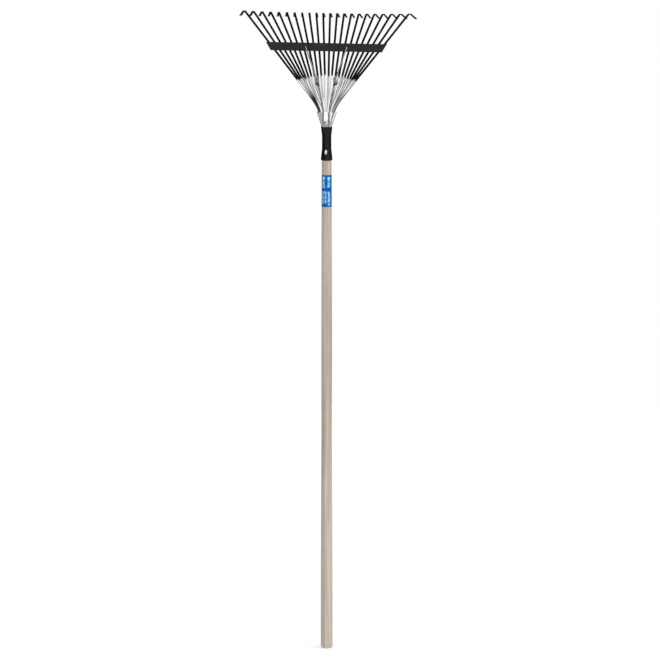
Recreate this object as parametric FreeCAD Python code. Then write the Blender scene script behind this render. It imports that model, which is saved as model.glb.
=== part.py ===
import FreeCAD, Part
import math
import os

# Leaf rake with a wooden handle, a steel ferrule and a fan of spring-steel tines.
# Units are millimetres. The origin is the centre of the handle's butt end.
# +Z runs up the handle to the tine tips, +X across the fan, and +Y the way the hooks point.
# The spring brace lies on the -Y side of the fan. Each make_ function returns one piece.

Vector = FreeCAD.Vector

# Handle: a turned stick, thicker at the butt, with a tapered tenon inside the ferrule.
BUTT_RADIUS = 13.8
BUTT_EDGE_ROUND = 6.5
BUTT_STRAIGHT_TOP = 170.0
GRIP_RADIUS = 12.5
GRIP_BOTTOM = 480.0
GRIP_TOP = 800.0
NECK_RADIUS = 11.5
NECK_TOP = 1140.0
TENON_RADIUS = 8.25
TENON_END_RADIUS = 7.25
HANDLE_TOP = 1211.0

# Ferrule: sheet steel, round at the handle and pressed flat into a socket for the tines.
FERRULE_BOTTOM = 1152.0
FERRULE_WALL = 1.2
SHOULDER_Z = 1160.0
WAIST_BOTTOM = 1180.0
WAIST_TOP = 1210.0
FLAT_BOTTOM = 1232.0
SOCKET_TOP = 1266.0
FERRULE_MOUTH_WIDTH = 25.0
SHOULDER_WIDTH = 24.2
WAIST_WIDTH = 19.8
FLAT_BOTTOM_WIDTH = 25.2
SOCKET_TOP_WIDTH = 48.0
FLAT_DEPTH = 7.4
FLAT_CORNER = 2.6
SCALLOP_COUNT = 6
SCALLOP_SPACING = 7.0
SCALLOP_RADIUS = 2.2

# Sleeve: the black cover over the ferrule's round part.
SLEEVE_WALL = 1.0
SLEEVE_GAP = 0.05
SLEEVE_TOP = 1231.0
SLEEVE_EDGE_ROUND = 0.7
WINDOW_Z = 1172.0
WINDOW_WIDTH = 7.4
WINDOW_HEIGHT = 10.8

# Screw: fixes the ferrule to the handle through the sleeve's window.
SCREW_HEAD_RADIUS = 3.1
SCREW_HEAD_HEIGHT = 1.9
SCREW_SHANK_RADIUS = 1.8
SCREW_LENGTH = 11.0
SCREW_SEAT_Y = -10.5
SCREW_SEAT_RADIUS = 3.5
SCREW_SLOT = 0.8

# Label: a plain band of thin film round the front of the handle.
LABEL_BOTTOM = 1043.0
LABEL_TOP = 1118.0
LABEL_FILM = 0.15
LABEL_GAP = 0.03
LABEL_ARC = 290.0

# Tines: flat spring steel. At the socket they lie in four layers, and at the crossbar in one.
TINE_COUNT = 22
TINE_WIDTH = 5.2
TINE_THICKNESS = 0.9
TINE_LAYERS = 4
LAYER_STEP = 1.08
ROOT_Z = 1249.0
ROOT_HALF_SPREAD = 14.05
CURVE_TOP = 1330.0
CURVE_STEPS = 5
LAYERS_END = 1348.0
PLANE_START = 1402.0
BEND_Z = 1497.0
MIDDLE_DROP = 2.4
EVEN_Z = 1404.0
EVEN_HALF_SPREAD = 120.0
OUTER_LEAN = 0.795
MIDDLE_LEAN_LOSS = 0.073
BEND_RADIUS = 3.0
BEND_ANGLE = 125.0
OUTER_EXTRA_BEND = 10.0
BEND_STEPS = 6
HOOK_LENGTH = 18.0
HOOK_SPLAY = 0.75

# Crossbar: a steel channel, open at the back, with a slot for each tine in both flanges.
BAR_Z = 1418.0
BAR_HEIGHT = 19.0
BAR_TOP_HALF = 144.5
BAR_BOTTOM_HALF = 133.0
BAR_FRONT_Y = -4.5
BAR_BACK_Y = 3.2
BAR_SHEET = 1.0
BAR_EDGE_ROUND = 0.8
SLOT_SIDE_GAP = 0.35
SLOT_FACE_GAP = 0.25

# Spring brace: one wire with a coil each side, a bight round the rivet and two end hooks.
WIRE_RADIUS = 1.5
COIL_RADIUS = 2.7
COIL_PITCH = 3.2
COIL_TURNS = 5.5
COIL_X = 21.3
COIL_Y = -7.6
COIL_BOTTOM = 1330.0
BRACE_HOLE_RADIUS = 2.0
BRACE_HOOK_END_Y = 0.6
BRACE_FRONT_Y = -6.25
BIGHT_RADIUS = 7.0
BIGHT_Y = -5.25
BIGHT_Z = 1240.8
BIGHT_STRAIGHT_TOP = 1266.0
BRACE_HOLE_PITCHES = 4

# Rivet: goes through the socket below the tine roots, and its collar holds the wire's bight.
RIVET_Z = 1240.0
RIVET_SHANK_RADIUS = 2.0
RIVET_HOLE_RADIUS = 2.05
RIVET_COLLAR_RADIUS = 4.5
RIVET_HEAD_RADIUS = 5.5
RIVET_HEAD_HEIGHT = 1.3
RIVET_TAIL_RADIUS = 3.8
RIVET_SEAT_GAP = 0.02


def rounded_rectangle(z, width, depth, corner):
    """A level rounded rectangle round the Z axis, as a closed wire."""
    x = width / 2 - corner
    y = depth / 2 - corner
    diagonal = corner * math.sqrt(0.5)
    edges = []
    for quarter, (sx, sy) in enumerate([(1, 1), (-1, 1), (-1, -1), (1, -1)]):
        centre = Vector(sx * x, sy * y, z)
        along_x = centre + Vector(sx * corner, 0, 0)
        along_y = centre + Vector(0, sy * corner, 0)
        middle = centre + Vector(sx * diagonal, sy * diagonal, 0)
        start, end = (along_x, along_y) if quarter % 2 == 0 else (along_y, along_x)
        if edges:
            edges.append(Part.LineSegment(last, start).toShape())
        else:
            first = start
        edges.append(Part.Arc(start, middle, end).toShape())
        last = end
    edges.append(Part.LineSegment(last, first).toShape())
    return Part.Wire(edges)


def lofted(sections):
    """A solid with straight sides between level sections, each (z, width, depth, corner)."""
    return Part.makeLoft([rounded_rectangle(*section) for section in sections], True, True)


def grown(sections, by):
    """The same sections with every wall moved outwards by a distance."""
    return [(z, width + 2 * by, depth + 2 * by, corner + by) for z, width, depth, corner in sections]


def round_section(z, width):
    """A section that is a circle but for a hair of flat on each side."""
    flat = 0.1
    return (z, width, width, width / 2 - flat)


def turned(points):
    """A solid of revolution about Z from (radius, z) points that start and end on the axis."""
    outline = Part.makePolygon([Vector(r, 0, z) for r, z in points + [points[0]]])
    return Part.Face(outline).revolve(Vector(0, 0, 0), Vector(0, 0, 1), 360)


def rod(start, end, radius):
    """A round rod between two points, with a ball at its end for the next run to meet."""
    run = end - start
    return Part.makeCylinder(radius, run.Length, start, run).fuse(Part.makeSphere(radius, end))


def cylinder_y(radius, x, z, start_y, end_y):
    """A cylinder parallel to Y."""
    return Part.makeCylinder(radius, end_y - start_y, Vector(x, start_y, z), Vector(0, 1, 0))


def ferrule_sections():
    """The ferrule's outer surface: round, waisted, then flattened and flared."""
    return [
        round_section(FERRULE_BOTTOM, FERRULE_MOUTH_WIDTH),
        round_section(SHOULDER_Z, SHOULDER_WIDTH),
        round_section(WAIST_BOTTOM, WAIST_WIDTH),
        round_section(WAIST_TOP, WAIST_WIDTH),
        (FLAT_BOTTOM, FLAT_BOTTOM_WIDTH, FLAT_DEPTH, FLAT_CORNER),
        (SOCKET_TOP, SOCKET_TOP_WIDTH, FLAT_DEPTH, FLAT_CORNER),
    ]


def section_at(sections, z):
    """The section at any height, by straight interpolation."""
    for low, high in zip(sections, sections[1:]):
        if low[0] <= z <= high[0]:
            share = (z - low[0]) / (high[0] - low[0])
            return tuple(a + share * (b - a) for a, b in zip(low, high))
    raise ValueError("the height is outside the sections")


def make_handle():
    """The wooden handle, with a pilot hole for the screw."""
    round_steps = 6
    profile = [(0, 0)]
    for step in range(round_steps + 1):
        turn = math.radians(90 * step / round_steps)
        radius = BUTT_RADIUS - BUTT_EDGE_ROUND * (1 - math.sin(turn))
        profile.append((radius, BUTT_EDGE_ROUND * (1 - math.cos(turn))))
    fit = 0.15
    bore = [section[1] / 2 - FERRULE_WALL - fit for section in ferrule_sections()]
    profile += [
        (BUTT_RADIUS, BUTT_STRAIGHT_TOP),
        (GRIP_RADIUS, GRIP_BOTTOM),
        (GRIP_RADIUS, GRIP_TOP),
        (NECK_RADIUS, NECK_TOP),
        (bore[0], FERRULE_BOTTOM),
        (bore[1], SHOULDER_Z),
        (TENON_RADIUS - fit, WAIST_BOTTOM),
        (TENON_RADIUS - fit, HANDLE_TOP - 3),
        (TENON_END_RADIUS, HANDLE_TOP),
        (0, HANDLE_TOP),
    ]
    pilot = cylinder_y(SCREW_SHANK_RADIUS + 0.03, 0, WINDOW_Z, -BUTT_RADIUS, SCREW_SEAT_Y + SCREW_LENGTH)
    return turned(profile).cut(pilot)


def make_ferrule():
    """The ferrule and tine socket in one piece of sheet steel."""
    outer = ferrule_sections()
    inner = grown(outer, -FERRULE_WALL)
    past = 1.0
    below = (FERRULE_BOTTOM - past,) + inner[0][1:]
    flare = (SOCKET_TOP_WIDTH - FLAT_BOTTOM_WIDTH) / (SOCKET_TOP - FLAT_BOTTOM)
    above = (SOCKET_TOP + past, inner[-1][1] + flare * past) + inner[-1][2:]
    shell = lofted(outer).cut(lofted([below] + inner + [above]))
    cutters = [
        cylinder_y(SCREW_SEAT_RADIUS, 0, WINDOW_Z, -BUTT_RADIUS, SCREW_SEAT_Y),
        cylinder_y(SCREW_SHANK_RADIUS + 0.25, 0, WINDOW_Z, -BUTT_RADIUS, 0),
        cylinder_y(RIVET_HOLE_RADIUS, 0, RIVET_Z, -FLAT_DEPTH, FLAT_DEPTH),
    ]
    for number in range(SCALLOP_COUNT):
        x = (number - (SCALLOP_COUNT - 1) / 2) * SCALLOP_SPACING
        cutters.append(cylinder_y(SCALLOP_RADIUS, x, SOCKET_TOP, -FLAT_DEPTH, FLAT_DEPTH))
    return shell.cut(Part.makeCompound(cutters))


def make_sleeve():
    """The black sleeve, with an oval window over the screw."""
    sections = [s for s in ferrule_sections() if s[0] < SLEEVE_TOP]
    sections.append(section_at(ferrule_sections(), SLEEVE_TOP))
    outer = grown(sections, SLEEVE_GAP + SLEEVE_WALL)
    inner = grown(sections, SLEEVE_GAP)
    foot = outer[0]
    rounded_foot = (foot[0], foot[1] - 2 * SLEEVE_EDGE_ROUND, foot[2] - 2 * SLEEVE_EDGE_ROUND,
                    foot[3] - SLEEVE_EDGE_ROUND)
    raised = section_at(outer, FERRULE_BOTTOM + 2 * SLEEVE_EDGE_ROUND)
    sleeve = lofted([rounded_foot, raised] + outer[1:]).cut(lofted(inner))
    oval = Part.Wire(Part.Ellipse(Vector(0, 0, 0), WINDOW_HEIGHT / 2, WINDOW_WIDTH / 2).toShape())
    window = Part.Face(oval).extrude(Vector(0, 0, 2 * BUTT_RADIUS))
    window.rotate(Vector(0, 0, 0), Vector(0, 1, 0), 90)
    window.rotate(Vector(0, 0, 0), Vector(0, 0, 1), -90)
    window.translate(Vector(0, 0, WINDOW_Z))
    return sleeve.cut(window)


def make_screw():
    """A round-head wood screw across the ferrule."""
    seat = SCREW_SEAT_Y - 0.02
    tip = 4.0
    shank = cylinder_y(SCREW_SHANK_RADIUS, 0, WINDOW_Z, seat, SCREW_SEAT_Y + SCREW_LENGTH - tip)
    point = Part.makeCone(
        SCREW_SHANK_RADIUS, 0.3, tip, Vector(0, SCREW_SEAT_Y + SCREW_LENGTH - tip, WINDOW_Z), Vector(0, 1, 0)
    )
    head = dome(SCREW_HEAD_RADIUS, SCREW_HEAD_HEIGHT, seat, WINDOW_Z)
    slot = Part.makeBox(
        2 * SCREW_HEAD_RADIUS, SCREW_HEAD_HEIGHT, SCREW_SLOT,
        Vector(-SCREW_HEAD_RADIUS, seat - 1.6 * SCREW_HEAD_HEIGHT, WINDOW_Z - SCREW_SLOT / 2),
    )
    return shank.fuse([point, head]).cut(slot)


def dome(radius, height, seat_y, z):
    """A domed head of a radius and height that stands on seat_y and bulges towards -Y."""
    ball = (radius ** 2 + height ** 2) / (2 * height)
    sphere = Part.makeSphere(ball, Vector(0, seat_y - height + ball, z))
    return sphere.common(cylinder_y(radius + 1, 0, z, seat_y - height - 1, seat_y))


def make_label():
    """A blank wrap-round label, open at the back of the handle."""
    def surface(z):
        share = (z - GRIP_TOP) / (NECK_TOP - GRIP_TOP)
        return GRIP_RADIUS + share * (NECK_RADIUS - GRIP_RADIUS) + LABEL_GAP
    corners = [
        Vector(surface(LABEL_BOTTOM), 0, LABEL_BOTTOM),
        Vector(surface(LABEL_BOTTOM) + LABEL_FILM, 0, LABEL_BOTTOM),
        Vector(surface(LABEL_TOP) + LABEL_FILM, 0, LABEL_TOP),
        Vector(surface(LABEL_TOP), 0, LABEL_TOP),
    ]
    film = Part.Face(Part.makePolygon(corners + corners[:1]))
    film = film.revolve(Vector(0, 0, 0), Vector(0, 0, 1), LABEL_ARC)
    film.rotate(Vector(0, 0, 0), Vector(0, 0, 1), 270 - LABEL_ARC / 2)
    return film


def make_rivet():
    """A shouldered rivet: shank through the socket, collar inside the bight, heads at both ends."""
    front = -FLAT_DEPTH / 2 - RIVET_SEAT_GAP
    back = -front
    collar_front = BIGHT_Y - WIRE_RADIUS - 0.1
    shank = cylinder_y(RIVET_SHANK_RADIUS, 0, RIVET_Z, front, back)
    collar = cylinder_y(RIVET_COLLAR_RADIUS, 0, RIVET_Z, collar_front, front)
    head = dome(RIVET_HEAD_RADIUS, RIVET_HEAD_HEIGHT, collar_front, RIVET_Z)
    tail = dome(RIVET_TAIL_RADIUS, RIVET_HEAD_HEIGHT, -back, 0)
    tail.rotate(Vector(0, 0, 0), Vector(1, 0, 0), 180)
    tail.translate(Vector(0, 0, RIVET_Z))
    return shank.fuse([collar, head, tail])


def tine_place(number):
    """Where a tine stands across the fan: -1 for the first tine, 1 for the last."""
    return 2 * number / (TINE_COUNT - 1) - 1


def tine_lean(number):
    """How far a straight tine moves across the fan for each millimetre up; the middle ones lean less."""
    place = tine_place(number)
    return OUTER_LEAN * place - MIDDLE_LEAN_LOSS * math.sin(math.pi * place)


def bend_z(number):
    """Where a tine's hook starts; the middle tines are a little shorter."""
    return BEND_Z - MIDDLE_DROP * (1 - tine_place(number) ** 4)


def tine_x(number, z):
    """How far a tine's centre is across the fan at a height: straight above the curve, level at the root."""
    if z >= CURVE_TOP:
        return tine_place(number) * EVEN_HALF_SPREAD + tine_lean(number) * (z - EVEN_Z)
    share = (z - ROOT_Z) / (CURVE_TOP - ROOT_Z)
    root = tine_place(number) * ROOT_HALF_SPREAD
    bow = tine_x(number, CURVE_TOP) - root
    rise = tine_lean(number) * (CURVE_TOP - ROOT_Z)
    return root + (3 * bow - rise) * share ** 2 + (rise - 2 * bow) * share ** 3


def tine_slope(number, z):
    """How fast a tine moves across the fan with height."""
    step = 0.05
    low = max(z - step, ROOT_Z)
    return (tine_x(number, z + step) - tine_x(number, low)) / (z + step - low)


def tine_section(x, slope, y, z, turn, side_gap=0.0, face_gap=0.0):
    """The tine's cross-section, level in X, turned with the hook's bend."""
    half_width = TINE_WIDTH / 2 * math.hypot(1, slope) + side_gap
    half_thickness = TINE_THICKNESS / 2 + face_gap
    across = Vector(0, math.cos(turn), -math.sin(turn)) * half_thickness
    centre = Vector(x, y, z)
    side = Vector(half_width, 0, 0)
    corners = [centre - side - across, centre + side - across, centre + side + across, centre - side + across]
    return Part.makePolygon(corners + corners[:1])


def make_tine(number):
    """One tine, from its root in the socket, through the crossbar, to its hooked tip."""
    layer_y = (number % TINE_LAYERS - (TINE_LAYERS - 1) / 2) * LAYER_STEP
    curve = [ROOT_Z + (CURVE_TOP - ROOT_Z) * step / CURVE_STEPS for step in range(CURVE_STEPS + 1)]
    levels = [(z, layer_y) for z in curve + [LAYERS_END]]
    levels += [(PLANE_START, 0), (bend_z(number), 0)]
    sections = [tine_section(tine_x(number, z), tine_slope(number, z), y, z, 0) for z, y in levels]
    slope = tine_lean(number)
    bend = math.radians(BEND_ANGLE + OUTER_EXTRA_BEND * tine_place(number) ** 2)
    for step in range(1, BEND_STEPS + 1):
        turn = bend * step / BEND_STEPS
        x = tine_x(number, bend_z(number)) + slope * BEND_RADIUS * turn
        y = BEND_RADIUS * (1 - math.cos(turn))
        z = bend_z(number) + BEND_RADIUS * math.sin(turn)
        sections.append(tine_section(x, slope, y, z, turn))
    x += slope * HOOK_SPLAY * HOOK_LENGTH
    y += HOOK_LENGTH * math.sin(turn)
    z += HOOK_LENGTH * math.cos(turn)
    sections.append(tine_section(x, slope, y, z, turn))
    return Part.makeLoft(sections, True, True)


def bar_prism(bottom_z, top_z, front_y, back_y):
    """A block with the crossbar's slanted ends, between two heights."""
    flare = (BAR_TOP_HALF - BAR_BOTTOM_HALF) / BAR_HEIGHT
    low_half = BAR_BOTTOM_HALF + flare * (bottom_z - BAR_Z + BAR_HEIGHT / 2)
    high_half = BAR_BOTTOM_HALF + flare * (top_z - BAR_Z + BAR_HEIGHT / 2)
    corners = [
        Vector(-low_half, front_y, bottom_z),
        Vector(low_half, front_y, bottom_z),
        Vector(high_half, front_y, top_z),
        Vector(-high_half, front_y, top_z),
    ]
    return Part.Face(Part.makePolygon(corners + corners[:1])).extrude(Vector(0, back_y - front_y, 0))


def brace_hole_x():
    """Where the brace hooks into the crossbar: midway between the fourth and fifth tines from the middle."""
    return tine_x((TINE_COUNT - 1) / 2 + BRACE_HOLE_PITCHES, BAR_Z)


def make_crossbar():
    """The channel across the fan, slotted for the tines and drilled for the brace."""
    bottom = BAR_Z - BAR_HEIGHT / 2
    top = BAR_Z + BAR_HEIGHT / 2
    block = bar_prism(bottom, top, BAR_FRONT_Y, BAR_BACK_Y)
    long_edges = [
        edge for edge in block.Edges
        if edge.BoundBox.XLength > BAR_BOTTOM_HALF and abs(edge.BoundBox.YMax - BAR_FRONT_Y) < 0.01
    ]
    block = block.makeFillet(BAR_EDGE_ROUND, long_edges)
    hollow = Part.makeBox(
        3 * BAR_TOP_HALF, BAR_BACK_Y - BAR_FRONT_Y, BAR_HEIGHT - 2 * BAR_SHEET,
        Vector(-1.5 * BAR_TOP_HALF, BAR_FRONT_Y + BAR_SHEET, bottom + BAR_SHEET),
    )
    cutters = [hollow]
    for number in range(TINE_COUNT):
        ends = [
            tine_section(tine_x(number, z), tine_slope(number, z), 0, z, 0, SLOT_SIDE_GAP, SLOT_FACE_GAP)
            for z in (bottom - 2, top + 2)
        ]
        cutters.append(Part.makeLoft(ends, True, True))
    for side in (-1, 1):
        cutters.append(cylinder_y(BRACE_HOLE_RADIUS, side * brace_hole_x(), BAR_Z, BAR_FRONT_Y - 1, BAR_BACK_Y))
    for cutter in cutters:
        block = block.cut(cutter)
    return block


def make_brace():
    """The spring brace: hooks in the crossbar, coils in front of the fan, bight round the rivet."""
    coil_top = COIL_BOTTOM + COIL_PITCH * COIL_TURNS
    start = Vector(COIL_X - COIL_RADIUS, COIL_Y, COIL_BOTTOM)
    helix = Part.makeHelix(COIL_PITCH, COIL_PITCH * COIL_TURNS, COIL_RADIUS)
    helix.rotate(Vector(0, 0, 0), Vector(0, 0, 1), 180)
    helix.translate(Vector(COIL_X, COIL_Y, COIL_BOTTOM))
    advance = COIL_PITCH / (2 * math.pi * COIL_RADIUS)
    section = Part.Wire(Part.Circle(start, Vector(0, -1, advance), WIRE_RADIUS).toShape())
    coil = Part.Wire(helix).makePipeShell([section], True, True)
    hook = Vector(brace_hole_x(), BRACE_HOOK_END_Y, BAR_Z)
    corner = Vector(hook.x, BRACE_FRONT_Y, BAR_Z)
    coil_end = Vector(COIL_X + COIL_RADIUS, COIL_Y, coil_top)
    straight_top = Vector(BIGHT_RADIUS, BIGHT_Y, BIGHT_STRAIGHT_TOP)
    bight_end = Vector(BIGHT_RADIUS, BIGHT_Y, BIGHT_Z)
    side = [
        rod(hook, corner, WIRE_RADIUS),
        rod(corner, coil_end, WIRE_RADIUS),
        coil,
        Part.makeSphere(WIRE_RADIUS, start),
        rod(start, straight_top, WIRE_RADIUS),
        Part.makeCylinder(WIRE_RADIUS, BIGHT_STRAIGHT_TOP - BIGHT_Z, bight_end, Vector(0, 0, 1)),
    ]
    mirrored = [piece.mirror(Vector(0, 0, 0), Vector(1, 0, 0)) for piece in side]
    disc = Part.Face(Part.Wire(Part.Circle(bight_end, Vector(0, 0, 1), WIRE_RADIUS).toShape()))
    bight = disc.revolve(Vector(0, BIGHT_Y, BIGHT_Z), Vector(0, 1, 0), 180)
    return bight.fuse(side + mirrored).removeSplitter()


def main():
    """Builds every piece and writes one STEP file for each."""
    pieces = {
        "handle": make_handle(),
        "ferrule_socket": make_ferrule(),
        "ferrule_sleeve": make_sleeve(),
        "ferrule_screw": make_screw(),
        "handle_label": make_label(),
        "brace_rivet": make_rivet(),
        "crossbar": make_crossbar(),
        "spring_brace": make_brace(),
    }
    for number in range(TINE_COUNT):
        pieces[f"tine_{number + 1:02d}"] = make_tine(number)
    os.makedirs("parts", exist_ok=True)
    for name, shape in pieces.items():
        solids = shape.Solids
        if len(solids) != 1 or not shape.isValid():
            print(f"{name}: {len(solids)} solids, valid {shape.isValid()}")
        solids[0].exportStep(f"parts/{name}.step")
        print(f"{name}: {solids[0].Volume:.1f} mm3")


main()
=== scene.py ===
"""The looks of a leaf rake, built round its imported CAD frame.

The CAD nodes of the handle, label, ferrule, sleeve, screw, rivet and crossbar stay and get materials.
The tines and the spring brace bend when the fan flexes, so finer meshes stand in for them.
The axes are the frame's own: +Z up the handle, -Y towards the viewer. Lengths are in metres, except in the
paths of the tines and the brace, which are worked out in millimetres like the CAD part's.
"""

import math

import bpy
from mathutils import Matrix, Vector


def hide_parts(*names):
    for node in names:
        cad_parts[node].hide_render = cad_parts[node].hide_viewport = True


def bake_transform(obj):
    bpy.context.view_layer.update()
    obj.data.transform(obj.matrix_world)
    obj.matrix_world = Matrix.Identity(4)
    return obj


MM = 0.001

# The tines' path, as in the CAD part, in millimetres.
TINE_COUNT = 22
TINE_WIDTH = 5.2
TINE_THICKNESS = 0.9
TINE_EDGE_POWER = 3.0
TINE_LAYERS = 4
LAYER_STEP = 1.08
ROOT_Z = 1249.0
ROOT_HALF_SPREAD = 14.05
CURVE_TOP = 1330.0
LAYERS_END = 1348.0
PLANE_START = 1402.0
BEND_Z = 1497.0
MIDDLE_DROP = 2.4
EVEN_Z = 1404.0
EVEN_HALF_SPREAD = 120.0
OUTER_LEAN = 0.795
MIDDLE_LEAN_LOSS = 0.073
BEND_RADIUS = 3.0
BEND_ANGLE = 125.0
OUTER_EXTRA_BEND = 10.0
HOOK_LENGTH = 18.0
HOOK_SPLAY = 0.75

# How finely a tine is meshed: points round its section, and rings along each stretch of its path.
SECTION_POINTS = 24
CURVE_RINGS = 16
SLANT_RINGS = 9
PLANE_RINGS = 5
BEND_RINGS = 13

# The brace's path, as in the CAD part, in millimetres.
WIRE_RADIUS = 1.5
COIL_RADIUS = 2.7
COIL_PITCH = 3.2
COIL_TURNS = 5.5
COIL_X = 21.3
COIL_Y = -7.6
COIL_BOTTOM = 1330.0
BRACE_HOLE_PITCHES = 4
BRACE_HOOK_END_Y = 0.6
BRACE_FRONT_Y = -6.25
BIGHT_RADIUS = 7.0
BIGHT_Y = -5.25
BIGHT_Z = 1240.8
BIGHT_STRAIGHT_TOP = 1266.0
BAR_Z = 1418.0

# How finely the brace is swept, and how its corners are eased, in millimetres where it is a length.
BRACE_CORNER_CUT = 1.2
COIL_STEPS = 110
LEG_POINTS = 12
LEG_END_SHARE = 0.97
BIGHT_LEG_DROPS = (2.0, 12.0)
BIGHT_POINTS = 17
WIRE_ROUNDNESS = 5

# Edges sharper than this stay crisp, in degrees.
CREASE_ANGLE = 40

# The arc that the tines' black paint stops at, how ragged the paint's end is, and how soft.
PAINT_CENTRE = (0, 0, 1.16)
PAINT_RADIUS = 0.191
PAINT_RAGGED = 0.020
PAINT_SOFTNESS = 0.0022

# Painted shade on the layers of tines: how bright each layer's plating is drawn.
LAYER_SHADES = (1.0, 0.72, 0.92, 0.6)

# Painted shade along the edges of the strips. ACROSS is the mesh attribute that says how far across a strip
# a point is, from -1 to 1. The painted shade grows towards the sides of the fan, by spread.
ACROSS = "across"
EDGE_SHARES = (0.45, 0.80)
EDGE_SPREADS = (0.11, 0.35)

# Painted shade on the outer roots, stronger on the left than on the right. A spread is the slope of a ray
# from the focus: x over the height above it.
SHADE_FOCUS_Z = 1.225
SHADE_SPREADS = (0.29, 0.38)
SHADE_LEFT = 0.97
SHADE_RIGHT = 0.62
SHADE_FADE = (1.298, 1.320)

# The socket's flare as (bottom z, top z, half width at the bottom, half width at the top).
SOCKET_FLARE = (1.232, 1.266, 0.0126, 0.024)

# Painted light and shade on the socket: painted shade to the left, along a crease line down the right, at
# the rims, beside the wire legs and at the foot, and a painted highlight down the middle. A share runs from
# -1 at its left edge to 1 at its right; heights and widths are in metres. Each pair is where a mark starts
# to change and where it has changed.
RIPPLE = 0.12
LEFT_SHADE_SHARES = (-0.42, -0.30)
CREASE_SHADE_RISE = (0.60, 0.66)
CREASE_SHADE_FALL = (0.78, 0.84)
RIM_SHADE_SHARES = (0.92, 0.97)
FOOT_SHADE_HEIGHTS = (1.240, 1.246)
WIRE_SHADOW_SHIFT = 0.0014
WIRE_SHADOW_WIDTHS = (0.0010, 0.0024)
HIGHLIGHT_WIDTHS = (0.003, 0.005)

# Painted shade on the wire under its coils.
COIL_SHADE_RISE = (1.326, 1.328)
COIL_SHADE_FALL = (1.333, 1.336)

# The label's panels as (left angle, right angle, bottom z, top z), in radians round the front and in metres.
LABEL_PANELS = [
    (-0.90, -0.14, 1.087, 1.114),
    (0.38, 0.95, 1.089, 1.114),
    (-0.90, -0.45, 1.050, 1.080),
    (-0.22, 0.14, 1.052, 1.080),
    (0.42, 0.95, 1.046, 1.079),
]

# Camera: far away with a long lens, a little above the head and to the right.
FRAME_WIDTH = 1.5476
CAMERA_DISTANCE = 40.0
CAMERA_AZIMUTH = 12.0
CAMERA_ELEVATION = 6.4
CAMERA_TARGET = Vector((0.008, 0, 0.752))
CAMERA_REACH = 200.0
SENSOR_WIDTH = 36.0

# Studio: the floor's size, place and slight glow, and the key light in the world.
FLOOR_RADIUS = 5.0
FLOOR_SIDES = 96
FLOOR_Z = -0.0005
FLOOR_GLOW = 0.42
KEY_DIRECTION = Vector((0.42, -0.74, 0.52))
KEY_RAMP = {"From Min": 0.1, "From Max": 1.0, "To Min": 0.12, "To Max": 1.80}


class Surface:
    """A node material under construction."""

    def __init__(self, name):
        self.material = bpy.data.materials.new(name)
        self.material.use_nodes = True
        self.tree = self.material.node_tree
        self.shader = self.tree.nodes["Principled BSDF"]
        self.position = self.node("ShaderNodeTexCoord").outputs["Object"]

    def node(self, kind, inputs=None, **settings):
        """Adds a node; an input is a number, a colour, a vector or another node's output."""
        made = self.tree.nodes.new(kind)
        for name, value in settings.items():
            setattr(made, name, value)
        for name, value in (inputs or {}).items():
            self.set_input(made.inputs[name], value)
        return made

    def set_input(self, socket, value):
        """Links or sets one input."""
        if isinstance(value, bpy.types.NodeSocket):
            self.tree.links.new(value, socket)
        else:
            socket.default_value = value

    def axes(self):
        """The object position's X, Y and Z."""
        return self.node("ShaderNodeSeparateXYZ", {"Vector": self.position}).outputs

    def math(self, operation, a, b=0.0):
        """One Math node's result."""
        return self.node("ShaderNodeMath", {0: a, 1: b}, operation=operation).outputs[0]

    def unsigned(self, value):
        """A number without its sign."""
        return self.math("ABSOLUTE", value)

    def noise(self, stretch, scale, detail=4.0, roughness=0.55):
        """Noise in object space, from 0 to 1, squeezed by stretch along each axis."""
        mapped = self.node("ShaderNodeMapping", {"Vector": self.position, "Scale": stretch}).outputs[0]
        inputs = {"Vector": mapped, "Scale": scale, "Detail": detail, "Roughness": roughness}
        return self.node("ShaderNodeTexNoise", inputs).outputs["Fac"]

    def remap(self, value, low, high, new_low, new_high):
        """A value rescaled from one range to another, and held inside it."""
        inputs = {"Value": value, "From Min": low, "From Max": high, "To Min": new_low, "To Max": new_high}
        return self.node("ShaderNodeMapRange", inputs).outputs["Result"]

    def band(self, value, rise, fall, strength=1.0):
        """The strength between two slopes, and 0 outside them."""
        return self.math("MULTIPLY", self.remap(value, *rise, 0, strength), self.remap(value, *fall, 1, 0))

    def mix(self, share, first, second):
        """A mix of two colours."""
        made = self.node("ShaderNodeMix", data_type="RGBA")
        for socket, value in zip((0, 6, 7), (share, first, second)):
            self.set_input(made.inputs[socket], value)
        return made.outputs[2]

    def mix_number(self, share, first, second):
        """A mix of two numbers."""
        return self.node("ShaderNodeMix", {0: share, 2: first, 3: second}, data_type="FLOAT").outputs[0]

    def bump(self, height, strength, distance):
        """Relief from a height."""
        inputs = {"Height": height, "Strength": strength, "Distance": distance}
        self.set_input(self.shader.inputs["Normal"], self.node("ShaderNodeBump", inputs).outputs[0])

    def finish(self, colour, roughness, metallic=0.0, **others):
        """Sets the shader's main inputs."""
        self.set_input(self.shader.inputs["Base Color"], colour)
        self.set_input(self.shader.inputs["Roughness"], roughness)
        self.set_input(self.shader.inputs["Metallic"], metallic)
        for name, value in others.items():
            self.set_input(self.shader.inputs[name.replace("_", " ")], value)
        return self.material


def grey(level):
    """An opaque grey."""
    return (level, level, level, 1)


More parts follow.
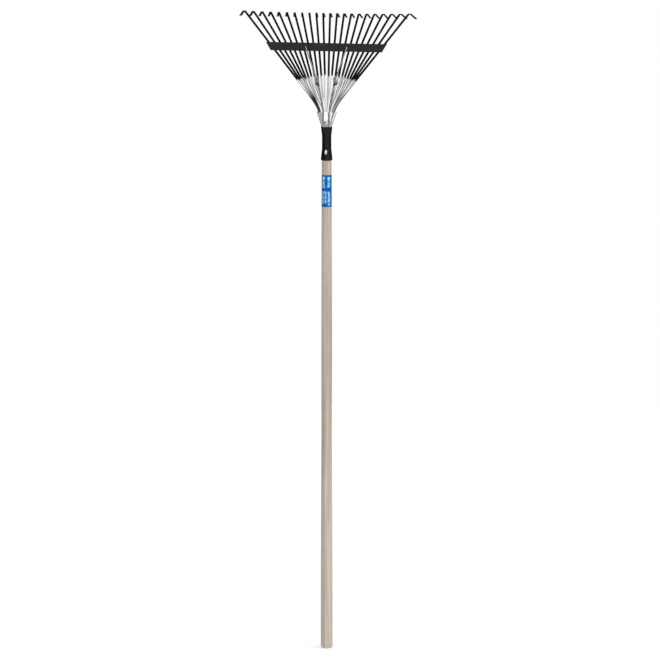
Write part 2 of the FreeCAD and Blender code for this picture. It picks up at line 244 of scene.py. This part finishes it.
def wood_material():
    """Pale bare hardwood with long grain, darker streaks and a few flecks."""
    s = Surface("pale_wood")
    broad = s.noise((1, 1, 0.03), 75, 4)
    grain = s.noise((1, 1, 0.012), 420, 6, 0.7)
    fleck = s.noise((1, 1, 0.06), 900, 2)
    tone = s.mix(s.remap(broad, 0.34, 0.66, 0, 1), (0.33, 0.275, 0.215, 1), (0.53, 0.485, 0.425, 1))
    tone = s.mix(s.remap(grain, 0.44, 0.66, 0, 0.6), tone, (0.29, 0.23, 0.17, 1))
    tone = s.mix(s.remap(fleck, 0.66, 0.74, 0, 0.6), tone, (0.20, 0.145, 0.10, 1))
    s.bump(s.math("ADD", grain, fleck), 0.3, 0.0004)
    return s.finish(tone, s.remap(grain, 0.3, 0.7, 0.52, 0.68))


def sleeve_material():
    """Black moulded plastic, satin, with a fine grain and faint rubbed streaks."""
    s = Surface("black_sleeve")
    cloud = s.noise((1, 1, 0.25), 90, 3)
    texture = s.noise((1, 1, 1), 2200, 2)
    colour = s.mix(s.remap(cloud, 0.35, 0.7, 0, 1), grey(0.001), grey(0.0045))
    s.bump(texture, 0.2, 0.00012)
    return s.finish(colour, s.remap(cloud, 0.3, 0.7, 0.26, 0.42), Specular_IOR_Level=0.16)


def zinc_colours(s, tone=1.0):
    """Bright zinc plate's colour, roughness and relief height on a surface."""
    streak = s.noise((1, 1, 0.06), 380, 4)
    cloud = s.noise((1, 1, 0.15), 60, 3)
    dull = tuple(tone * level for level in (0.70, 0.705, 0.71)) + (1,)
    bright = tuple(tone * level for level in (0.95, 0.95, 0.94)) + (1,)
    colour = s.mix(s.remap(cloud, 0.35, 0.65, 0, 1), dull, bright)
    return colour, s.remap(streak, 0.3, 0.7, 0.20, 0.36), streak


def zinc_material():
    """Bright zinc-plated steel."""
    s = Surface("zinc_plate")
    colour, roughness, height = zinc_colours(s)
    s.bump(height, 0.15, 0.0001)
    return s.finish(colour, roughness, 1.0)


def socket_material():
    """Zinc plate pressed over the tine roots, with painted shade to the left and a painted dark crease line
    down the right.
    """
    s = Surface("socket_plate")
    colour, roughness, height = zinc_colours(s)
    x, _, z = s.axes()
    ripple = s.math("MULTIPLY", s.math("SUBTRACT", s.noise((1, 1, 0.3), 160, 2), 0.5), RIPPLE)
    across = s.math("ADD", s.math("DIVIDE", x, s.remap(z, *SOCKET_FLARE)), ripple)
    beside = s.unsigned(s.math("ADD", x, WIRE_SHADOW_SHIFT))
    from_leg = s.unsigned(s.math("SUBTRACT", beside, BIGHT_RADIUS * MM))
    # Painted highlight: a white strip down the middle, between the wire legs.
    colour = s.mix(s.remap(beside, *HIGHLIGHT_WIDTHS, 0.9, 0), colour, grey(1.0))
    # Painted shade: darker to the left, a dark crease line down the right, darker rims, shadows beside the
    # wire legs, shade at the foot.
    left_shade = s.remap(across, *LEFT_SHADE_SHARES, 0.62, 0)
    crease_shade = s.band(across, CREASE_SHADE_RISE, CREASE_SHADE_FALL, 0.75)
    rim = s.remap(s.unsigned(across), *RIM_SHADE_SHARES, 0, 0.55)
    wire_shadow = s.remap(from_leg, *WIRE_SHADOW_WIDTHS, 0.85, 0)
    foot_shade = s.remap(z, *FOOT_SHADE_HEIGHTS, 0.5, 0)
    shade = left_shade
    for mark in (crease_shade, rim, wire_shadow, foot_shade):
        shade = s.math("MAXIMUM", shade, mark)
    s.bump(height, 0.15, 0.0001)
    return s.finish(s.mix(shade, colour, grey(0.10)), roughness, 1.0)


def wire_material(name, dull, bright):
    """Drawn wire, zinc plated between two greys, with painted shade under the coils."""
    s = Surface(name)
    cloud = s.noise((1, 1, 1), 260, 3)
    colour = s.mix(s.remap(cloud, 0.35, 0.65, 0, 1), grey(dull), grey(bright))
    # Painted shade under the coils.
    coil_shade = s.band(s.axes()[2], COIL_SHADE_RISE, COIL_SHADE_FALL)
    colour = s.mix(coil_shade, colour, grey(0.02))
    s.bump(cloud, 0.1, 0.0001)
    return s.finish(colour, s.remap(cloud, 0.3, 0.7, 0.28, 0.42), 1.0)


def tine_material(layer):
    """Spring steel strip: black enamel from the tips down, bright zinc plate near the socket, with painted
    shade on the plate.
    """
    s = Surface(f"tine_strip_layer_{layer + 1}")
    # Painted shade: each layer's plating is drawn at its own brightness.
    colour, roughness, height = zinc_colours(s, LAYER_SHADES[layer])
    centre = s.node("ShaderNodeVectorMath", {0: s.position, 1: PAINT_CENTRE}, operation="DISTANCE")
    ragged = s.math("MULTIPLY", s.noise((1, 1, 0.3), 220, 2), PAINT_RAGGED)
    radius = s.math("ADD", centre.outputs["Value"], s.math("SUBTRACT", ragged, PAINT_RAGGED / 2))
    paint = s.remap(radius, PAINT_RADIUS - PAINT_SOFTNESS, PAINT_RADIUS + PAINT_SOFTNESS, 0, 1)
    enamel = s.mix(s.noise((1, 1, 0.1), 150, 2), grey(0.0012), grey(0.004))
    spread = outward(s)
    # Painted shade along the strips' edges.
    plate = s.mix(edge_shade(s, spread), colour, grey(0.04))
    # Painted shade on the outer roots.
    plate = s.mix(root_shade(s, spread), plate, grey(0.01))
    s.bump(height, 0.12, 0.0001)
    return s.finish(s.mix(paint, plate, enamel), s.mix_number(paint, roughness, 0.34),
                    s.mix_number(paint, 1.0, 0.0), Specular_IOR_Level=0.06)


def outward(s):
    """Which ray of the fan a point is on: 0 in the middle, negative to the left, positive to the right."""
    x, _, z = s.axes()
    return s.math("DIVIDE", x, s.math("SUBTRACT", z, SHADE_FOCUS_Z))


def edge_shade(s, spread):
    """How far a strip is darkened by painted shade along its edges, more so at the sides of the fan."""
    across = s.node("ShaderNodeAttribute", attribute_name=ACROSS).outputs["Fac"]
    edge = s.remap(s.unsigned(across), *EDGE_SHARES, 0, 1)
    strength = s.remap(s.unsigned(spread), *EDGE_SPREADS, 0.15, 1.0)
    return s.math("MULTIPLY", edge, strength)


def root_shade(s, spread):
    """How far the outer strips are darkened by painted shade just above the socket, from 0 to 1."""
    start, full = SHADE_SPREADS
    left = s.remap(spread, -start, -full, 0, SHADE_LEFT)
    right = s.remap(spread, start, full, 0, SHADE_RIGHT)
    fade = s.remap(s.axes()[2], *SHADE_FADE, 1, 0)
    return s.math("MULTIPLY", s.math("ADD", left, right), fade)


def crossbar_material():
    """Black enamel on sheet steel, satin, slightly dusty."""
    s = Surface("crossbar_enamel")
    cloud = s.noise((0.3, 1, 1), 110, 3)
    peel = s.noise((1, 1, 1), 900, 2)
    colour = s.mix(s.remap(cloud, 0.3, 0.7, 0, 1), grey(0.009), grey(0.016))
    s.bump(peel, 0.12, 0.0001)
    return s.finish(colour, s.remap(cloud, 0.3, 0.7, 0.36, 0.5), Specular_IOR_Level=0.18)


def label_material():
    """Blue film with plain light panels in two columns, and no lettering."""
    s = Surface("label_film")
    x, y, z = s.axes()
    angle = s.math("ARCTAN2", x, s.math("MULTIPLY", y, -1))

    def inside(value, low, high):
        """1 between two limits, and 0 outside them."""
        return s.math("MULTIPLY", s.math("GREATER_THAN", value, low), s.math("LESS_THAN", value, high))

    panels = 0.0
    for left, right, bottom, top in LABEL_PANELS:
        panel = s.math("MULTIPLY", inside(angle, left, right), inside(z, bottom, top))
        panels = s.math("MAXIMUM", panels, panel)
    wear = s.noise((1, 1, 0.4), 600, 3)
    blue = s.mix(s.remap(wear, 0.3, 0.7, 0, 1), (0.0, 0.06, 0.28, 1), (0.0, 0.105, 0.38, 1))
    light = s.mix(s.remap(wear, 0.42, 0.58, 0, 1), (0.0, 0.11, 0.38, 1), (0.40, 0.72, 0.88, 1))
    return s.finish(s.mix(panels, blue, light), 0.38, Specular_IOR_Level=0.10)


def new_object(name, mesh, material):
    """Puts a mesh in the scene with one material and smooth shading."""
    made = bpy.data.objects.new(name, mesh)
    bpy.context.scene.collection.objects.link(made)
    mesh.materials.clear()
    mesh.materials.append(material)
    mesh.shade_smooth()
    mesh.set_sharp_from_angle(angle=math.radians(CREASE_ANGLE))
    return made


def tine_place(number):
    """Where a tine stands across the fan: -1 for the first tine, 1 for the last."""
    return 2 * number / (TINE_COUNT - 1) - 1


def tine_lean(number):
    """How far a straight tine moves across the fan for each millimetre up; the middle ones lean less."""
    place = tine_place(number)
    return OUTER_LEAN * place - MIDDLE_LEAN_LOSS * math.sin(math.pi * place)


def bend_z(number):
    """Where a tine's hook starts; the middle tines are a little shorter."""
    return BEND_Z - MIDDLE_DROP * (1 - tine_place(number) ** 4)


def tine_x(number, z):
    """How far a tine's centre is across the fan at a height."""
    if z >= CURVE_TOP:
        return tine_place(number) * EVEN_HALF_SPREAD + tine_lean(number) * (z - EVEN_Z)
    share = (z - ROOT_Z) / (CURVE_TOP - ROOT_Z)
    root = tine_place(number) * ROOT_HALF_SPREAD
    bow = tine_x(number, CURVE_TOP) - root
    rise = tine_lean(number) * (CURVE_TOP - ROOT_Z)
    return root + (3 * bow - rise) * share ** 2 + (rise - 2 * bow) * share ** 3


def tine_slope(number, z):
    """How fast a tine moves across the fan with height."""
    step = 0.05
    low = max(z - step, ROOT_Z)
    return (tine_x(number, z + step) - tine_x(number, low)) / (z + step - low)


def spaced(start, end, count):
    """Evenly spaced numbers, with both ends."""
    return [start + (end - start) * step / (count - 1) for step in range(count)]


def tine_stations(number):
    """The tine's stations from root to tip, each (centre, slope, turn)."""
    layer_y = (number % TINE_LAYERS - (TINE_LAYERS - 1) / 2) * LAYER_STEP
    heights = spaced(ROOT_Z, CURVE_TOP, CURVE_RINGS) + spaced(LAYERS_END, PLANE_START, SLANT_RINGS)
    heights += spaced(PLANE_START, bend_z(number), PLANE_RINGS)[1:]
    stations = []
    for z in heights:
        share = min(max((PLANE_START - z) / (PLANE_START - LAYERS_END), 0), 1)
        centre = Vector((tine_x(number, z), layer_y * share, z))
        stations.append((centre, tine_slope(number, z), 0.0))
    slope = tine_lean(number)
    bend = math.radians(BEND_ANGLE + OUTER_EXTRA_BEND * tine_place(number) ** 2)
    for turn in spaced(0, bend, BEND_RINGS)[1:]:
        centre = Vector((
            tine_x(number, bend_z(number)) + slope * BEND_RADIUS * turn,
            BEND_RADIUS * (1 - math.cos(turn)),
            bend_z(number) + BEND_RADIUS * math.sin(turn),
        ))
        stations.append((centre, slope, turn))
    hook = Vector((slope * HOOK_SPLAY, math.sin(bend), math.cos(bend))) * HOOK_LENGTH
    stations.append((centre + hook, slope, bend))
    return stations


def strip_section(half_width, half_thickness):
    """A rolled strip's section, flat in the middle and rounded to its edges, as (across, through) pairs."""
    points = []
    for angle in spaced(0, 2 * math.pi, SECTION_POINTS + 1)[:-1]:
        across, through = (
            math.copysign(abs(share) ** (2 / TINE_EDGE_POWER), share)
            for share in (math.cos(angle), math.sin(angle))
        )
        points.append((half_width * across, half_thickness * through))
    return points


def tine_mesh(number):
    """One tine's mesh: rings of the strip's section along its path, closed at both ends.

    Each point carries how far across the strip it is, from -1 at one edge to 1 at the other.
    """
    rings = []
    for centre, slope, turn in tine_stations(number):
        normal = Vector((0, math.cos(turn), -math.sin(turn)))
        half_width = TINE_WIDTH / 2 * math.hypot(1, slope)
        section = strip_section(half_width, TINE_THICKNESS / 2)
        rings.append([(centre + Vector((a, 0, 0)) + normal * t) * MM for a, t in section])
    sides = SECTION_POINTS
    faces = [tuple(reversed(range(sides)))]
    for ring in range(len(rings) - 1):
        for side in range(sides):
            a = ring * sides + side
            b = ring * sides + (side + 1) % sides
            faces.append((a, b, b + sides, a + sides))
    faces.append(tuple(range(len(rings) * sides - sides, len(rings) * sides)))
    mesh = bpy.data.meshes.new(f"tine_strip_{number + 1:02d}")
    mesh.from_pydata([point for ring in rings for point in ring], [], faces)
    across = mesh.attributes.new(ACROSS, "FLOAT", "POINT")
    across.data.foreach_set("value", [a for a, t in strip_section(1, 1)] * len(rings))
    return mesh


def make_tines():
    """All the tines, as finer meshes in place of the CAD tines."""
    materials = [tine_material(layer) for layer in range(TINE_LAYERS)]
    for number in range(TINE_COUNT):
        material = materials[number % TINE_LAYERS]
        tine = new_object(f"tine_strip_{number + 1:02d}", tine_mesh(number), material)
        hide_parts(f"tine_{number + 1:02d}")
        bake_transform(tine)


def brace_side():
    """The brace's right half, from the hook in the crossbar down to the bight."""
    rise = COIL_PITCH * COIL_TURNS
    coil_end = Vector((COIL_X + COIL_RADIUS, COIL_Y, COIL_BOTTOM + rise))
    corner = Vector((tine_x((TINE_COUNT - 1) / 2 + BRACE_HOLE_PITCHES, BAR_Z), BRACE_FRONT_Y, BAR_Z))
    points = [Vector((corner.x, BRACE_HOOK_END_Y, BAR_Z)), corner + Vector((0, BRACE_CORNER_CUT, 0))]
    points.append(corner + (coil_end - corner).normalized() * BRACE_CORNER_CUT)
    for step in range(COIL_STEPS, -1, -1):
        share = step / COIL_STEPS
        angle = 2 * math.pi * COIL_TURNS * share + math.pi
        turned = Vector((math.cos(angle), math.sin(angle), 0)) * COIL_RADIUS
        points.append(Vector((COIL_X, COIL_Y, COIL_BOTTOM + rise * share)) + turned)
    straight_top = Vector((BIGHT_RADIUS, BIGHT_Y, BIGHT_STRAIGHT_TOP))
    leg = straight_top - points[-1]
    points += [points[-1] + leg * share for share in spaced(0, LEG_END_SHARE, LEG_POINTS)[1:]]
    points += [straight_top - Vector((0, 0, drop)) for drop in BIGHT_LEG_DROPS]
    return points


def make_brace(material):
    """The wire brace as one swept tube, in place of the CAD brace."""
    right = brace_side()
    left = [Vector((-point.x, point.y, point.z)) for point in reversed(right)]
    bight = [
        Vector((BIGHT_RADIUS * math.cos(angle), BIGHT_Y, BIGHT_Z - BIGHT_RADIUS * math.sin(angle)))
        for angle in spaced(0, math.pi, BIGHT_POINTS)
    ]
    points = right + bight + left
    curve = bpy.data.curves.new("brace_path", "CURVE")
    curve.dimensions = "3D"
    curve.bevel_depth = WIRE_RADIUS * MM
    curve.bevel_resolution = WIRE_ROUNDNESS
    curve.use_fill_caps = True
    spline = curve.splines.new("POLY")
    spline.points.add(len(points) - 1)
    for control, point in zip(spline.points, points):
        control.co = (*(point * MM), 1)
    path = bpy.data.objects.new("brace_path", curve)
    mesh = bpy.data.meshes.new_from_object(path)
    bpy.data.objects.remove(path)
    brace = new_object("brace_wire", mesh, material)
    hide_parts("spring_brace")
    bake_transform(brace)


def dress(node, material):
    """Gives a CAD node its material."""
    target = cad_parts[node]
    target.data.materials.clear()
    target.data.materials.append(material)


def make_floor():
    """A plain pale round floor."""
    rim = [
        (FLOOR_RADIUS * math.cos(angle), FLOOR_RADIUS * math.sin(angle), FLOOR_Z)
        for angle in spaced(0, 2 * math.pi, FLOOR_SIDES + 1)[1:]
    ]
    mesh = bpy.data.meshes.new("floor")
    mesh.from_pydata(rim, [], [tuple(range(len(rim)))])
    s = Surface("pale_floor")
    material = s.finish(grey(0.86), 0.9, Emission_Color=grey(1.0), Emission_Strength=FLOOR_GLOW)
    new_object("floor", mesh, material)


def make_world():
    """Soft studio light: a large soft key from the front, above and to the right, and dim sides."""
    world = bpy.data.worlds.new("studio")
    bpy.context.scene.world = world
    world.use_nodes = True
    tree = world.node_tree
    direction = tree.nodes.new("ShaderNodeTexCoord").outputs["Generated"]
    facing = tree.nodes.new("ShaderNodeVectorMath")
    facing.operation = "DOT_PRODUCT"
    tree.links.new(direction, facing.inputs[0])
    facing.inputs[1].default_value = KEY_DIRECTION.normalized()
    ramp = tree.nodes.new("ShaderNodeMapRange")
    ramp.interpolation_type = "SMOOTHSTEP"
    tree.links.new(facing.outputs["Value"], ramp.inputs["Value"])
    for name, value in KEY_RAMP.items():
        ramp.inputs[name].default_value = value
    lights = tree.nodes["Background"]
    tree.links.new(ramp.outputs["Result"], lights.inputs["Strength"])
    lights.inputs["Color"].default_value = grey(1.0)
    backdrop = tree.nodes.new("ShaderNodeBackground")
    backdrop.inputs["Color"].default_value = grey(1.0)
    chooser = tree.nodes.new("ShaderNodeMixShader")
    rays = tree.nodes.new("ShaderNodeLightPath")
    tree.links.new(rays.outputs["Is Camera Ray"], chooser.inputs[0])
    tree.links.new(lights.outputs[0], chooser.inputs[1])
    tree.links.new(backdrop.outputs[0], chooser.inputs[2])
    tree.links.new(chooser.outputs[0], tree.nodes["World Output"].inputs["Surface"])
    bpy.context.scene.view_settings.view_transform = "Standard"


def make_camera():
    """A long lens, far enough away for the rake to look the same size from butt to tips."""
    data = bpy.data.cameras.new("camera")
    data.sensor_width = SENSOR_WIDTH
    data.lens = SENSOR_WIDTH * CAMERA_DISTANCE / FRAME_WIDTH
    data.clip_end = CAMERA_REACH
    camera = bpy.data.objects.new("camera", data)
    bpy.context.scene.collection.objects.link(camera)
    azimuth = math.radians(CAMERA_AZIMUTH)
    elevation = math.radians(CAMERA_ELEVATION)
    back = Vector((
        math.sin(azimuth) * math.cos(elevation),
        -math.cos(azimuth) * math.cos(elevation),
        math.sin(elevation),
    ))
    camera.location = CAMERA_TARGET + back * CAMERA_DISTANCE
    camera.rotation_mode = "QUATERNION"
    camera.rotation_quaternion = (-back).to_track_quat("-Z", "Y")
    bpy.context.scene.camera = camera


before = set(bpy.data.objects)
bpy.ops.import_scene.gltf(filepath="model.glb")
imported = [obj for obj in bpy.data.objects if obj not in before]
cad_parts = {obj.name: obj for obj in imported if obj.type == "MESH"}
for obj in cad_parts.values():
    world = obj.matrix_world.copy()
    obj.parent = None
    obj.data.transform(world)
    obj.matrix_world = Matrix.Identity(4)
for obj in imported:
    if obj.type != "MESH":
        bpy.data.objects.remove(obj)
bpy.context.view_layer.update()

zinc = zinc_material()
wire = wire_material("spring_wire", 0.20, 0.34)
dress("handle", wood_material())
dress("handle_label", label_material())
dress("ferrule_sleeve", sleeve_material())
dress("ferrule_socket", socket_material())
dress("ferrule_screw", zinc)
dress("brace_rivet", wire_material("rivet_steel", 0.34, 0.50))
dress("crossbar", crossbar_material())
make_tines()
make_brace(wire)
make_floor()
make_world()
make_camera()
